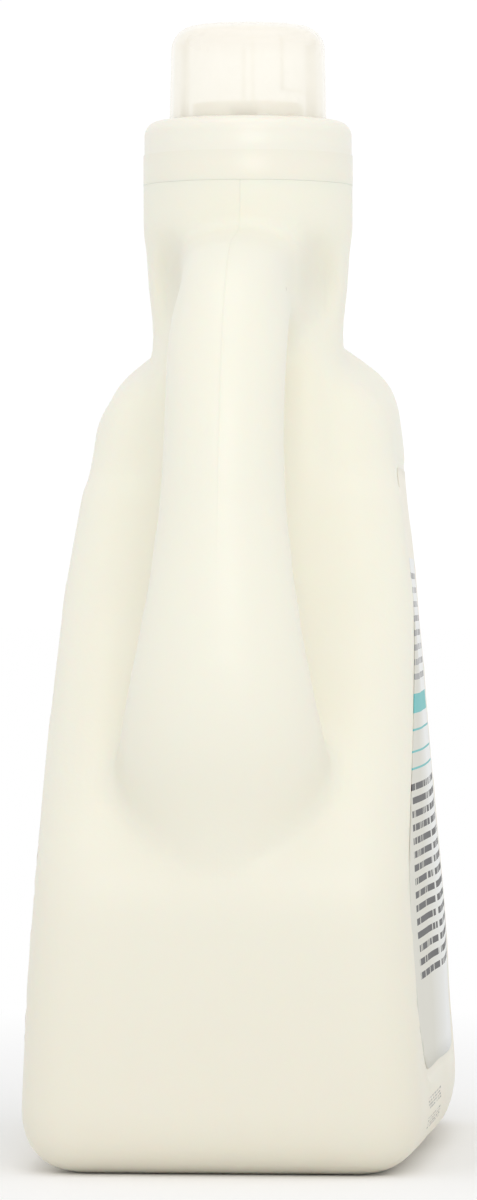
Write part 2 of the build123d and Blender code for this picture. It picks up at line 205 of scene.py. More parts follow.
class DetergentFitment(bpy.types.PropertyGroup):
    collar_round: FloatProperty(
        name="Collar rounding", description="Rounding of the collar's upper edge",
        default=3.6 * MM, unit="LENGTH")
    collar_step: FloatProperty(
        name="Collar step", description="How far the collar's lower band stands out",
        default=0.25 * MM, unit="LENGTH")
    collar_band: FloatProperty(
        name="Collar band", description="Height of the collar's lower band",
        default=7.2 * MM, unit="LENGTH")
    wall: FloatProperty(
        name="Wall", description="Thickness of the well and the spout",
        default=1.4 * MM, unit="LENGTH")
    spout_radius: FloatProperty(
        name="Spout radius", description="Outside radius of the pouring spout",
        default=13.2 * MM, unit="LENGTH")
    spout_rise: FloatProperty(
        name="Spout rise", description="Height of the spout above the collar",
        default=4.2 * MM, unit="LENGTH")
    drain_slot: FloatProperty(
        name="Drain slot", description="Width of the slot that lets drips run back",
        default=5.6 * MM, unit="LENGTH")
    colour: FloatVectorProperty(
        name="Colour", description="Colour of the collar's plastic",
        default=(0.89, 0.862, 0.762), subtype="COLOR")


class DetergentCap(bpy.types.PropertyGroup):
    wall: FloatProperty(
        name="Wall", description="Thickness of the cup's wall",
        default=0.9 * MM, unit="LENGTH")
    taper: FloatProperty(
        name="Taper", description="How much narrower the cup is at its top",
        default=0.5 * MM, unit="LENGTH")
    crown: FloatProperty(
        name="Crown", description="How far the top is domed",
        default=1.0 * MM, unit="LENGTH")
    corner: FloatProperty(
        name="Corner", description="Rounding between the cup's side and its top",
        default=5.2 * MM, unit="LENGTH")
    rib: FloatProperty(
        name="Rib", description="Width of the ribs inside the cup, and depth of the ribs and the dose mark",
        default=0.75 * MM, unit="LENGTH")
    ribs: IntProperty(
        name="Ribs", description="Number of upright ribs inside the cup",
        default=6, min=1)
    rib_head: FloatProperty(
        name="Rib head", description="How far the ribs end below the cup's top",
        default=4.3 * MM, unit="LENGTH")
    rib_turn: FloatProperty(
        name="Rib turn", description="Direction of the first rib, from the handle's side",
        default=radians(7.8), subtype="ANGLE")
    mark_width: FloatProperty(
        name="Mark width", description="Width of the dose mark's line",
        default=0.45 * MM, unit="LENGTH")
    mark_height: FloatProperty(
        name="Dose mark", description="Height of the dose line above the collar",
        default=6.7 * MM, unit="LENGTH")
    colour: FloatVectorProperty(
        name="Colour", description="Colour of the cap's milky plastic",
        default=(0.99, 0.965, 0.885), subtype="COLOR")
    cover: FloatProperty(
        name="Cover", description="How much one surface of the cup hides what is behind it",
        default=0.33, min=0, max=1, subtype="FACTOR")


class DetergentThread(bpy.types.PropertyGroup):
    starts: IntProperty(
        name="Starts", description="Number of ridges that start round the thread",
        default=3, min=1)
    lead: FloatProperty(
        name="Lead", description="Rise of a ridge in one full turn",
        default=12 * MM, unit="LENGTH")
    turn: FloatProperty(
        name="Turn", description="How far round one ridge runs",
        default=radians(200), subtype="ANGLE")
    height: FloatProperty(
        name="Height", description="How far a ridge stands out",
        default=1.1 * MM, unit="LENGTH")
    lift: FloatProperty(
        name="Lift", description="Height of the ridges above the cap's rim",
        default=2.5 * MM, unit="LENGTH")


class DetergentLabel(bpy.types.PropertyGroup):
    thickness: FloatProperty(
        name="Thickness", description="Thickness of the label film",
        default=0.15 * MM, unit="LENGTH")
    grid: FloatProperty(
        name="Grid", description="Spacing of the film's faces",
        default=4 * MM, unit="LENGTH")
    accent: FloatVectorProperty(
        name="Accent", description="Colour of the printed fields",
        default=(0.10, 0.51, 0.51), subtype="COLOR")
    ink: FloatVectorProperty(
        name="Ink", description="Colour of the printed bars",
        default=(0.03, 0.03, 0.03), subtype="COLOR")


class DetergentStage(bpy.types.PropertyGroup):
    azimuth: FloatProperty(
        name="Azimuth", description="Direction of the camera round the bottle, 90 at the handle",
        default=radians(94.4), subtype="ANGLE")
    distance: FloatProperty(
        name="Distance", description="From the bottle's axis to the camera",
        default=1.5, unit="LENGTH")
    eye: FloatProperty(
        name="Eye height", description="Height of the camera above the floor",
        default=130.9 * MM, unit="LENGTH")
    lens: FloatProperty(
        name="Lens", description="Focal length in millimetres",
        default=188.4, unit="CAMERA")
    shift: FloatProperty(
        name="Shift", description="Sideways shift of the view, as a share of its height",
        default=-0.0048)


# ------------------------------------------------------------- mesh helpers
def finish_piece(name, body, slot, form, material, *replaced):
    """Turn a finished bmesh into a smooth-shaded piece that rides on its body."""
    mesh = bpy.data.meshes.new(name)
    form.to_mesh(mesh)
    form.free()
    mesh.shade_smooth()
    piece = bpy.data.objects.new(name, mesh)
    bpy.context.scene.collection.objects.link(piece)
    mesh.materials.append(material)
    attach(piece, body)
    if replaced:
        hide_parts(*replaced)
    return piece


def smoothstep(low, high, value):
    """0 before low, 1 after high, and an even rise between them."""
    share = min(max((value - low) / (high - low), 0), 1)
    return share * share * (3 - 2 * share)


def boundary(form):
    """The open edges of a mesh."""
    return [edge for edge in form.edges if edge.is_boundary]


def lathe(form, corners, closed=False):
    """Spin a profile of (radius, height, rounding) corners about the neck axis."""
    verts = [form.verts.new((NECK_X + radius, 0, height)) for radius, height, _ in corners]
    for pair in zip(verts, verts[1:] + verts[:1] if closed else verts[1:]):
        form.edges.new(pair)
    for vert, (_, _, rounding) in zip(verts, corners):
        if rounding:
            bmesh.ops.bevel(form, geom=[vert], offset=rounding, offset_type="OFFSET", segments=8,
                            profile=0.5, affect="VERTICES", material=-1)
    wire = [edge for edge in form.edges if edge.is_wire]
    ends = list({vert for edge in wire for vert in edge.verts})
    bmesh.ops.spin(form, geom=ends + wire, cent=NECK_AXIS, axis=UP, angle=tau, steps=LATHE_STEPS,
                   use_merge=True)
    bmesh.ops.remove_doubles(form, verts=form.verts, dist=MM / 1000)
    bmesh.ops.recalc_face_normals(form, faces=form.faces)


def add_threads(form, wall_radius, rise, low):
    """Stand helical ridges with narrowed ends on a round wall; a negative rise stands inwards."""
    thread = bpy.context.scene.detergent_thread
    steps = round(LATHE_STEPS * thread.turn / tau)
    root = wall_radius - rise / 4
    crest = wall_radius + rise
    section = [(root, -0.8), (crest, -0.4), (crest, 0.4), (root, 0.8)]
    for start in range(thread.starts):
        ridge = bmesh.new()
        verts = [ridge.verts.new((NECK_X + radius, 0, low + height * MM))
                 for radius, height in section]
        face = ridge.faces.new(verts)
        turned = bmesh.ops.spin(
            ridge, geom=[face], cent=NECK_AXIS, axis=UP, angle=thread.turn, steps=steps,
            dvec=UP * thread.lead * thread.turn / tau / steps)
        ends = [face.verts[:], [v for v in turned["geom_last"] if isinstance(v, bmesh.types.BMVert)]]
        for end in ends:
            centre = sum((vert.co for vert in end), Vector()) / len(end)
            foot = NECK_AXIS + (centre - NECK_AXIS) * Vector((1, 1, 0)).normalized().length
            bmesh.ops.scale(ridge, verts=end, vec=(0.7, 0.7, 0.4), space=Matrix.Translation(-foot))
        bmesh.ops.recalc_face_normals(ridge, faces=ridge.faces)
        bmesh.ops.rotate(ridge, verts=ridge.verts, cent=NECK_AXIS,
                         matrix=Matrix.Rotation(tau * start / thread.starts, 3, "Z"))
        join(form, ridge)


def join(form, extra):
    """Add another bmesh to this one and free it."""
    mesh = bpy.data.meshes.new("joined")
    extra.to_mesh(mesh)
    extra.free()
    form.from_mesh(mesh)
    bpy.data.meshes.remove(mesh)


def cut_away(form, cutter):
    """Cut one closed form out of another."""
    scene = bpy.context.scene
    pair = []
    for name, source in (("body", form), ("cutter", cutter)):
        mesh = bpy.data.meshes.new(name)
        source.to_mesh(mesh)
        source.free()
        pair.append(bpy.data.objects.new(name, mesh))
        scene.collection.objects.link(pair[-1])
    body, tool = pair
    boolean = body.modifiers.new("Cut", "BOOLEAN")
    boolean.object = tool
    boolean.solver = "EXACT"
    graph = bpy.context.evaluated_depsgraph_get()
    cut = bpy.data.meshes.new_from_object(body.evaluated_get(graph))
    result = bmesh.new()
    result.from_mesh(cut)
    for mesh in (body.data, tool.data, cut):
        bpy.data.meshes.remove(mesh)
    return result


def block(form, low, high):
    """Add a box between two corners."""
    centre = (Vector(low) + Vector(high)) / 2
    size = Vector(high) - Vector(low)
    matrix = Matrix.Translation(centre) @ Matrix.Diagonal((*size, 1))
    return bmesh.ops.create_cube(form, size=1, matrix=matrix)["verts"]


# ---------------------------------------------------------- material helpers
class Shader:
    """A node material under construction, with a plain plastic shader at its end."""

    def __init__(self, name, colour, roughness, **values):
        self.material = bpy.data.materials.new(name)
        self.material.use_nodes = True
        self.tree = self.material.node_tree
        self.base = self.tree.nodes["Principled BSDF"]
        self.colour = None
        self.height = None
        self.place = self.node("ShaderNodeTexCoord").outputs["Object"]
        self.base.inputs["Base Color"].default_value = (*colour, 1)
        self.base.inputs["Roughness"].default_value = roughness
        for socket, value in values.items():
            self.base.inputs[socket.replace("_", " ")].default_value = value

    def node(self, kind, **sockets):
        """Add a node; plain values are set on its sockets and outputs are linked to them."""
        made = self.tree.nodes.new(kind)
        for key, value in sockets.items():
            self.feed(made.inputs[key.replace("_", " ")], value)
        return made

    def feed(self, socket, value):
        """Set or link one input."""
        if isinstance(value, bpy.types.NodeSocket):
            self.tree.links.new(value, socket)
        else:
            socket.default_value = value

    def math(self, operation, first, second=0.0):
        """One step of arithmetic between values."""
        made = self.tree.nodes.new("ShaderNodeMath")
        made.operation = operation
        self.feed(made.inputs[0], first)
        self.feed(made.inputs[1], second)
        return made.outputs[0]

    def axis(self, letter):
        """One coordinate of the object's own space, in metres."""
        return self.node("ShaderNodeSeparateXYZ", Vector=self.place).outputs[letter]

    def ramp(self, value, low, high, start=0.0, end=1.0):
        """A clamped linear change from start to end as the value goes from low to high."""
        made = self.node("ShaderNodeMapRange", Value=value)
        made.inputs["From Min"].default_value = low
        made.inputs["From Max"].default_value = high
        made.inputs["To Min"].default_value = start
        made.inputs["To Max"].default_value = end
        return made.outputs["Result"]

    def noise(self, scale, detail=2.0, stretch=(1, 1, 1)):
        """Smooth noise in object space, stretched along the axes; scale is per metre."""
        mapping = self.node("ShaderNodeMapping", Vector=self.place)
        mapping.inputs["Scale"].default_value = stretch
        made = self.node("ShaderNodeTexNoise", Vector=mapping.outputs[0])
        made.inputs["Scale"].default_value = scale
        made.inputs["Detail"].default_value = detail
        return made.outputs["Fac"]

    def tint(self, share, colour):
        """Mix another colour over what the base colour is so far."""
        mix = self.tree.nodes.new("ShaderNodeMix")
        mix.data_type = "RGBA"
        self.feed(mix.inputs[0], share)
        before = self.colour or tuple(self.base.inputs["Base Color"].default_value)
        self.feed(mix.inputs[6], before)
        mix.inputs[7].default_value = (*colour, 1)
        self.colour = mix.outputs[2]
        self.feed(self.base.inputs["Base Color"], self.colour)

    def within(self, value, low, high):
        """1 between two values and 0 outside them."""
        above = self.math("GREATER_THAN", value, low)
        return self.math("MULTIPLY", above, self.math("LESS_THAN", value, high))

    def box(self, low, high):
        """1 inside a box that is given by its lowest and highest (x, z), and 0 outside it."""
        across = self.within(self.axis("X"), low[0], high[0])
        return self.math("MULTIPLY", across, self.within(self.axis("Z"), low[1], high[1]))

    def disc(self, centre, radius):
        """1 inside a circle on a label's face, and 0 outside it."""
        moved = self.node("ShaderNodeVectorMath", Vector=self.place)
        moved.operation = "MULTIPLY_ADD"
        moved.inputs[1].default_value = (1, 0, 1)
        moved.inputs[2].default_value = (-centre[0], 0, -centre[1])
        length = self.node("ShaderNodeVectorMath", Vector=moved.outputs[0])
        length.operation = "LENGTH"
        return self.math("LESS_THAN", length.outputs["Value"], radius)

    def spot(self, centre, radii):
        """1 at a centre, falling softly to 0 at the radii round it.

        X and Y count without their sign, so the spot repeats across both middle planes.
        """
        unsigned = self.node("ShaderNodeVectorMath", Vector=self.place)
        unsigned.operation = "ABSOLUTE"
        scaled = self.node("ShaderNodeVectorMath", Vector=unsigned.outputs[0])
        scaled.operation = "MULTIPLY_ADD"
        scaled.inputs[1].default_value = [1 / radius for radius in radii]
        scaled.inputs[2].default_value = [-place / radius for place, radius in zip(centre, radii)]
        length = self.node("ShaderNodeVectorMath", Vector=scaled.outputs[0])
        length.operation = "LENGTH"
        return self.ramp(length.outputs["Value"], 0.25, 1.0, 1.0, 0.0)

    def chance(self, column, row):
        """A random value for each cell of a grid."""
        cell = self.node(
            "ShaderNodeCombineXYZ", X=self.math("FLOOR", column), Y=self.math("FLOOR", row))
        return self.node("ShaderNodeTexWhiteNoise", Vector=cell.outputs[0]).outputs["Value"]

    def bars(self, low, high, pitch, word, share, kept):
        """Rows of plain bars of uneven length inside a box."""
        row = self.math("DIVIDE", self.axis("Z"), pitch)
        column = self.math("DIVIDE", self.axis("X"), word)
        chance = self.chance(column, row)
        bar = self.math("LESS_THAN", self.math("FRACT", row), share)
        bar = self.math("MULTIPLY", bar, self.math("LESS_THAN", chance, kept))
        return self.math("MULTIPLY", bar, self.box(low, high))

    def relief(self, height, distance):
        """Fine relief in the finish; distance is the height of a full step in metres."""
        made = self.tree.nodes.new("ShaderNodeBump")
        made.inputs["Distance"].default_value = distance
        self.feed(made.inputs["Height"], height)
        if self.height:
            self.feed(made.inputs["Normal"], self.height)
        self.height = made.outputs[0]
        self.feed(self.base.inputs["Normal"], self.height)


def shell_material(colour):
    """Satin blow-moulded plastic with a parting line, dark specks and a dotted batch code.

    Towards the foot it is painted darker and warmer, as painted shade, and the thumb hollows have a little
    painted shade.
    """
    shader = Shader("bottle_plastic", colour, 0.42, Subsurface_Weight=0.12, Subsurface_Scale=4 * MM)
    height = shader.axis("Z")
    # Painted shade: darker and warmer towards the foot.
    low = shader.ramp(height, 0.0, 0.14, 0.6, 0.0)
    shader.tint(low, FOOT_PAINTED_SHADE)
    shader.tint(shader.ramp(shader.noise(18, 3), 0.45, 0.75, 0.0, 0.15), WARM_CLOUD)
    # Painted shade in the thumb hollows, the same on both sides.
    hollow = shader.spot(SHADE_CENTRE, SHADE_RADII)
    shader.tint(shader.math("MULTIPLY", hollow, 0.3), HOLLOW_SHADE)
    specks = shader.node("ShaderNodeTexVoronoi", Vector=shader.place)
    specks.inputs["Scale"].default_value = 26
    dots = shader.ramp(specks.outputs["Distance"], 0.011, 0.016, 0.5, 0.0)
    shader.tint(dots, SPECK)
    line = shader.ramp(shader.math("ABSOLUTE", shader.axis("Y")), 0.08 * MM, 0.3 * MM, 1.0, 0.0)
    seam = shader.math("MULTIPLY", line, shader.ramp(height, 0.14, 0.175, 0.12, 1.0))
    shader.tint(shader.math("MULTIPLY", seam, 0.07), PARTING_LINE)
    shader.tint(shader.math("MULTIPLY", batch_code(shader), 0.92), CODE_INK)
    shader.relief(shader.noise(900, 2), 0.02 * MM)
    shader.relief(seam, 0.05 * MM)
    rough = shader.ramp(shader.noise(70, 3), 0.3, 0.7, 0.38, 0.47)
    shader.feed(shader.base.inputs["Roughness"], rough)
    return shader.material


def batch_code(shader):
    """Two short lines of uneven dots, four dots high, near the foot of the back."""
    pitch = 0.75 * MM
    left, right = 0.014, 0.052
    across = shader.math("DIVIDE", shader.axis("X"), pitch)
    up = shader.math("DIVIDE", shader.axis("Z"), pitch)
    chance = shader.chance(across, up)
    off = [shader.math("SUBTRACT", shader.math("FRACT", value), 0.5) for value in (across, up)]
    spot = shader.node("ShaderNodeCombineXYZ", X=off[0], Y=off[1])
    length = shader.node("ShaderNodeVectorMath", Vector=spot.outputs[0])
    length.operation = "LENGTH"
    dot = shader.math("LESS_THAN", length.outputs["Value"], 0.36)
    dot = shader.math("MULTIPLY", dot, shader.math("LESS_THAN", chance, 0.55))
    dot = shader.math("MULTIPLY", dot, shader.math("GREATER_THAN", shader.axis("Y"), 0))
    lines = [shader.box((left, row * pitch), (right, (row + 4) * pitch)) for row in (12, 18)]
    return shader.math("MULTIPLY", dot, shader.math("ADD", *lines))


def fitment_material(colour):
    """The moulded collar and spout: smoother than the bottle and duller low down, with painted light on the
    spout: it is paler, in place of the light that the cap keeps from it.
    """
    shader = Shader("fitment_plastic", colour, 0.34, Subsurface_Weight=0.12, Subsurface_Scale=3 * MM)
    shader.tint(shader.ramp(shader.noise(60, 2), 0.4, 0.8, 0.0, 0.12), (0.92, 0.86, 0.75))
    band_top = FITMENT_LOW.z + 10.6 * MM
    spout_foot = COLLAR_TOP + 0.1 * MM
    band = shader.within(shader.axis("Z"), FITMENT_LOW.z, band_top)
    shader.tint(shader.math("MULTIPLY", band, 0.4), DULL_BAND)
    # Painted light: the spout is paler, in place of the light that the cap keeps from it.
    shader.tint(shader.math("GREATER_THAN", shader.axis("Z"), spout_foot), SPOUT_PAINTED_LIGHT)
    shader.relief(shader.noise(1400, 2), 0.01 * MM)
    return shader.material


def cap_material(colour, cover):
    """Milky plastic that lets the ribs and the spout show through, warmer at its crown.

    It glows a little, in place of the light that such plastic scatters.
    """
    shader = Shader("cap_plastic", colour, 0.3, Alpha=cover, IOR=1.25, Emission_Strength=0.08)
    shader.base.inputs["Emission Color"].default_value = (*colour, 1)
    crown = shader.ramp(shader.axis("Z"), CAP_HIGH.z - 9 * MM, CAP_HIGH.z - 1 * MM, 0.0, 0.6)
    shader.tint(crown, WARM_CROWN)
    shader.tint(shader.ramp(shader.noise(45, 2), 0.4, 0.8, 0.0, 0.12), (0.96, 0.88, 0.77))
    shader.relief(shader.noise(500, 2), 0.015 * MM)
    rough = shader.ramp(shader.noise(90, 2), 0.3, 0.7, 0.26, 0.34)
    shader.feed(shader.base.inputs["Roughness"], rough)
    return shader.material


def seal_material():
    """Soft matt sealing foam."""
    shader = Shader("seal_rubber", (0.82, 0.81, 0.78), 0.7)
    shader.relief(shader.noise(3000, 2), 0.05 * MM)
    return shader.material


def film(name):
    """Satin white label film."""
    shader = Shader(name, FILM_WHITE, 0.42, Specular_IOR_Level=0.15)
    shader.relief(shader.noise(160, 2), 0.02 * MM)
    return shader


def back_print(ink, accent):
    """Two columns of plain bars, a coloured block and fine coloured rules, with a painted shade that greys
    the film near the handle.
    """
    shader = film("back_label_film")
    pale = tuple(0.35 + 0.5 * share for share in ink)
    # Painted shade: the film greys towards the handle.
    shader.tint(shader.ramp(shader.axis("X"), *PAINTED_SHADE_FADE, 0.0, 0.9), FILM_PAINTED_SHADE)
    for left, right in COLUMNS:
        low, high = LOWER_TEXT
        shader.tint(shader.bars((left, low), (right, high), 3.1 * MM, 1.7 * MM, 0.5, 0.86), ink)
        low, high = UPPER_TEXT
        shader.tint(shader.bars((left, low), (right, high), 3.4 * MM, 2.2 * MM, 0.42, 0.84), pale)
    shader.tint(shader.box((PRINT_LEFT, BLOCK[0]), (PRINT_RIGHT, BLOCK[1])), accent)
    shader.tint(shader.box((-LABEL_EDGE, PRINT_TOP), (LABEL_EDGE, LABEL_HEAD)), BARE_PLASTIC)
    for height in RULES:
        shader.tint(shader.box((PRINT_LEFT, height), (PRINT_RIGHT, height + RULE_HEIGHT)), accent)
    return shader.material


def front_print(ink, accent):
    """A broad coloured field, rings of colour over it and three plain bars."""
    shader = film("front_label_film")
    deep = tuple(share * 0.45 for share in accent)
    shader.tint(shader.box((-LABEL_EDGE, FIELD_LOW), (LABEL_EDGE, LABEL_HEAD)), accent)
    discs = (
        (RING_Z, 0.038, FILM_WHITE),
        (RING_Z, 0.0355, deep),
        (RING_Z, 0.028, accent),
        (INNER_Z, 0.0175, FILM_WHITE),
    )
    for height, radius, colour in discs:
        shader.tint(shader.disc((RING_X, height), radius), colour)
    for half, height in BAR_ROWS:
        low = (RING_X - half, height)
        high = (RING_X + half, height + BAR_HEIGHT)
        shader.tint(shader.box(low, high), ink)
    return shader.material


# --------------------------------------------------------------- bottle shell
def outer_skin(node):
    """A closed copy of the bottle's outside, with a plain stub in place of its thin finish."""
    settings = bpy.context.scene.detergent_shell
    form = bmesh.new()
    form.from_mesh(node.data)
    bmesh.ops.remove_doubles(form, verts=form.verts, dist=MM / 1000)
    everything = [*form.verts, *form.edges, *form.faces]
    bmesh.ops.bisect_plane(form, geom=everything, plane_co=UP * (settings.neck_top - MM / 2),
                           plane_no=UP, clear_outer=True)
    lowest = min(form.verts, key=lambda vert: vert.co.z)
    kept = {lowest}
    front = [lowest]
    while front:
        vert = front.pop()
        near = {edge.other_vert(vert) for edge in vert.link_edges} - kept
        kept |= near
        front.extend(near)
    inner = [vert for vert in form.verts if vert not in kept]
    bmesh.ops.delete(form, geom=inner, context="VERTS")
    made = bmesh.ops.extrude_edge_only(form, edges=boundary(form))["geom"]
    raised = [item for item in made if isinstance(item, bmesh.types.BMVert)]
    bmesh.ops.translate(form, verts=raised, vec=UP * 4 * settings.grain)
    bmesh.ops.holes_fill(form, edges=boundary(form))
    return form


def remeshed(form, grain):
    """The same form as even quads, with every part grown into one skin."""
    mesh = bpy.data.meshes.new("rough_form")
    form.to_mesh(mesh)
    form.free()
    rough = bpy.data.objects.new("rough_form", mesh)
    bpy.context.scene.collection.objects.link(rough)
    remesh = rough.modifiers.new("Remesh", "REMESH")
    remesh.mode = "VOXEL"
    remesh.voxel_size = grain
    graph = bpy.context.evaluated_depsgraph_get()
    even = bpy.data.meshes.new_from_object(rough.evaluated_get(graph))
    result = bmesh.new()
    result.from_mesh(even)
    bpy.data.objects.remove(rough)
    bpy.data.meshes.remove(mesh)
    bpy.data.meshes.remove(even)
    return result


def smooth(form, passes):
    """Even out the whole skin."""
    for _ in range(passes):
        bmesh.ops.smooth_vert(form, verts=form.verts, factor=0.5, use_axis_x=True,
                              use_axis_y=True, use_axis_z=True)


def foot_inset(radius, height):
    """How far inside the outline a rounded foot stands at a height."""
    rise = max(radius - max(height, 0), 0)
    return radius - sqrt(radius * radius - rise * rise)


def round_foot(form):
    """Give the foot its full rounding by drawing its low sections in."""
    settings = bpy.context.scene.detergent_shell
    half_length = (FOOT_HIGH_X - BOTTLE_LOW.x) / 2
    middle = (FOOT_HIGH_X + BOTTLE_LOW.x) / 2
    for vert in form.verts:
        extra = foot_inset(settings.foot_radius, vert.co.z) - foot_inset(CAD_FOOT_RADIUS, vert.co.z)
        vert.co.x = middle + (vert.co.x - middle) * (1 - extra / half_length)
        vert.co.y *= 1 - extra / BOTTLE_HIGH.y


def swell(place, middle, reach):
    """A soft bump: 1 at its middle, fading out past its reach."""
    return exp(-((place - middle) / reach) ** 2)


def shape_body(form):
    """Lower the shoulders towards the handle, and tune how full the two big faces are."""
    settings = bpy.context.scene.detergent_shell
    for vert in form.verts:
        x, y, z = vert.co
        beside = smoothstep(*SHOULDER_SIDE, abs(y))
        upper = smoothstep(*SHOULDER_FOOT, z) * (1 - smoothstep(*SHOULDER_HEAD, z))
        vert.co.z -= settings.shoulder_drop * smoothstep(*SHOULDER_END, x) * beside * upper
        near = sum(size * swell(z, middle, reach) for size, middle, reach in NEAR_SWELLS)
        far = sum(size * swell(z, middle, reach) for size, middle, reach in FAR_SWELLS)
        share = smoothstep(*FACE_MIDDLE, x)
        fullness = (near * share + far * (1 - share)) * smoothstep(*FACE_SIDE, abs(y))
        vert.co.y += fullness * MM * (1 if y > 0 else -1)


def press_hollows(form):
    """Press a thumb hollow into the neck on each side of the handle's upper root."""
    settings = bpy.context.scene.detergent_shell
    along, across = HOLLOW_PRESS
    for vert in form.verts:
        side = 1 if vert.co.y > 0 else -1
        beside = swell(abs(vert.co.y), *HOLLOW_SIDE) * swell(vert.co.z, *HOLLOW_HEIGHT)
        facing = smoothstep(*HOLLOW_FACING, vert.co.x)
        vert.co -= Vector((along, across * side, 0)) * settings.hollow * beside * facing


def at_radius(vert, radius, height):
    """Move a vertex to a radius and height about the neck axis, keeping its direction."""
    spoke = (vert.co - NECK_AXIS) * Vector((1, 1, 0))
    vert.co = NECK_AXIS + spoke.normalized() * radius + UP * height


def true_neck(form):
    """Fill out the upper neck, and bring the skin just under the collar to a true round."""
    settings = bpy.context.scene.detergent_shell
    for vert in form.verts:
        height = vert.co.z
        if height > NECK_FOOT[0]:
            spoke = ((vert.co - NECK_AXIS) * Vector((1, 1, 0))).length
            beside = 1 - smoothstep(*NECK_REACH, spoke)
            fuller = spoke + NECK_FULLER * smoothstep(*NECK_FOOT, height) * beside
            share = smoothstep(*NECK_HEAD, height)
            at_radius(vert, fuller + (settings.neck_radius - fuller) * share, height)


def add_finish(form):
    """Square off the neck, and stand the thin finish that the collar grips on it."""
    settings = bpy.context.scene.detergent_shell
    cut = settings.neck_top - 3 * settings.neck_edge
    everything = [*form.verts, *form.edges, *form.faces]
    bmesh.ops.bisect_plane(
        form, geom=everything, plane_co=UP * cut, plane_no=UP, clear_outer=True)
    rim = boundary(form)
    for vert in {vert for edge in rim for vert in edge.verts}:
        at_radius(vert, settings.neck_radius, cut)
    steps = [(settings.neck_radius, settings.neck_top), (settings.finish_radius, settings.neck_top),
             (settings.finish_radius, FINISH_TOP)]
    for radius, height in steps:
        made = bmesh.ops.extrude_edge_only(form, edges=rim)["geom"]
        rim = [item for item in made if isinstance(item, bmesh.types.BMEdge) and item.is_boundary]
        for vert in {vert for edge in rim for vert in edge.verts}:
            at_radius(vert, radius, height)
        if height == settings.neck_top and radius > settings.finish_radius:
            lip = rim
    bmesh.ops.bevel(form, geom=lip, offset=settings.neck_edge, offset_type="OFFSET", segments=2,
                    profile=0.5, affect="EDGES", material=-1)


# --------------------------------------------------------------- label panels
def label_outline(node):
    """The label's outline as one flat face on the bottle's middle plane."""
    side = 1 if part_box(node)[0].y > 0 else -1
    form = bmesh.new()
    form.from_mesh(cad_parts[node].data)
    bmesh.ops.remove_doubles(form, verts=form.verts, dist=MM / 1000)
    form.normal_update()
    rest = [face for face in form.faces if face.normal.y * side < 0.5]
    bmesh.ops.delete(form, geom=rest, context="FACES")
    bmesh.ops.scale(form, verts=form.verts, vec=(1, 0, 1))
    bmesh.ops.dissolve_faces(form, faces=form.faces)
    return form


class Outline:
    """Tells how far a point of the skin is outside a label's outline."""

    def __init__(self, node):
        flat = label_outline(node)
        self.face = BVHTree.FromBMesh(flat)
        rim = boundary(flat)
        made = bmesh.ops.extrude_edge_only(flat, edges=rim)["geom"]
        inside = [face for face in flat.faces if len(face.verts) > 4]
        bmesh.ops.delete(flat, geom=inside, context="FACES_ONLY")
        raised = [item for item in made if isinstance(item, bmesh.types.BMVert)]
        bmesh.ops.translate(flat, verts=raised, vec=(0, MM, 0))
        self.edge = BVHTree.FromBMesh(flat)
        flat.free()

    def distance(self, place):
        """Distance in the label's plane, negative inside it."""
        flat = Vector((place.x, MM / 2, place.z))
        away = self.edge.find_nearest(flat)[3]
        inside = self.face.ray_cast(flat, Vector((0, -1, 0)))[0] is not None
        return -away if inside else away


def sink_panels(form):
    """Sink a panel for each label into the skin, with a fine bead around it."""
    settings = bpy.context.scene.detergent_shell
    outlines = {-1: Outline("front_label"), 1: Outline("back_label")}

    def beyond(vert):
        """Distance outside the panel's edge on the vertex's own side of the bottle."""
        return outlines[1 if vert.co.y > 0 else -1].distance(vert.co) - settings.panel_margin

    def on_face(vert):
        """Whether a vertex lies on one of the two big faces, low enough to meet a label."""
        return abs(vert.normal.y) > 0.6 and vert.co.z < LABEL_HIGH.z + 10 * MM

    form.normal_update()
    for _ in range(2):
        near = {vert for vert in form.verts if on_face(vert) and abs(beyond(vert)) < PANEL_BAND}
        edges = [edge for edge in form.edges if edge.verts[0] in near and edge.verts[1] in near]
        bmesh.ops.subdivide_edges(form, edges=edges, cuts=1, use_grid_fill=True)
        form.normal_update()
    moves = []
    for vert in form.verts:
        if on_face(vert):
            past = beyond(vert)
            sunk = settings.panel_depth * (1 - smoothstep(*PANEL_WALL, past))
            bead = settings.panel_bead * swell(past, *BEAD_PLACE)
            moves.append((vert, bead * smoothstep(*BEAD_FADE, vert.co.x) - sunk))
    for vert, move in moves:
        vert.co.y += move if vert.co.y > 0 else -move


class DETERGENT_OT_shell(bpy.types.Operator):
    """Grow the blow-moulded bottle's skin from its construction model"""
    bl_idname = "detergent.shell"
    bl_label = "Bottle shell"

    def execute(self, context):
        settings = context.scene.detergent_shell
        form = remeshed(outer_skin(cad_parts["bottle"]), settings.grain)
        smooth(form, settings.evening)
        round_foot(form)
        shape_body(form)
        press_hollows(form)
        sink_panels(form)
        true_neck(form)
        add_finish(form)
        shell = finish_piece("bottle_shell", "bottle", "bottle_plastic", form,
                             shell_material(settings.colour), "bottle")
        wall = shell.modifiers.new("Wall", "SOLIDIFY")
        wall.thickness = settings.wall
        wall.offset = -1
        return {"FINISHED"}


# -------------------------------------------------------------- spout fitment
def drain_cutter(spout, wall):
    """The block that opens the slot through which drips run back."""
    half_slot = bpy.context.scene.detergent_fitment.drain_slot / 2
    slot = bmesh.new()
    block(slot, (NECK_X + spout - 2 * wall, -half_slot, FITMENT_LOW.z + 1.5 * wall),
          (NECK_X + spout + wall, half_slot, COLLAR_TOP - wall))
    return slot


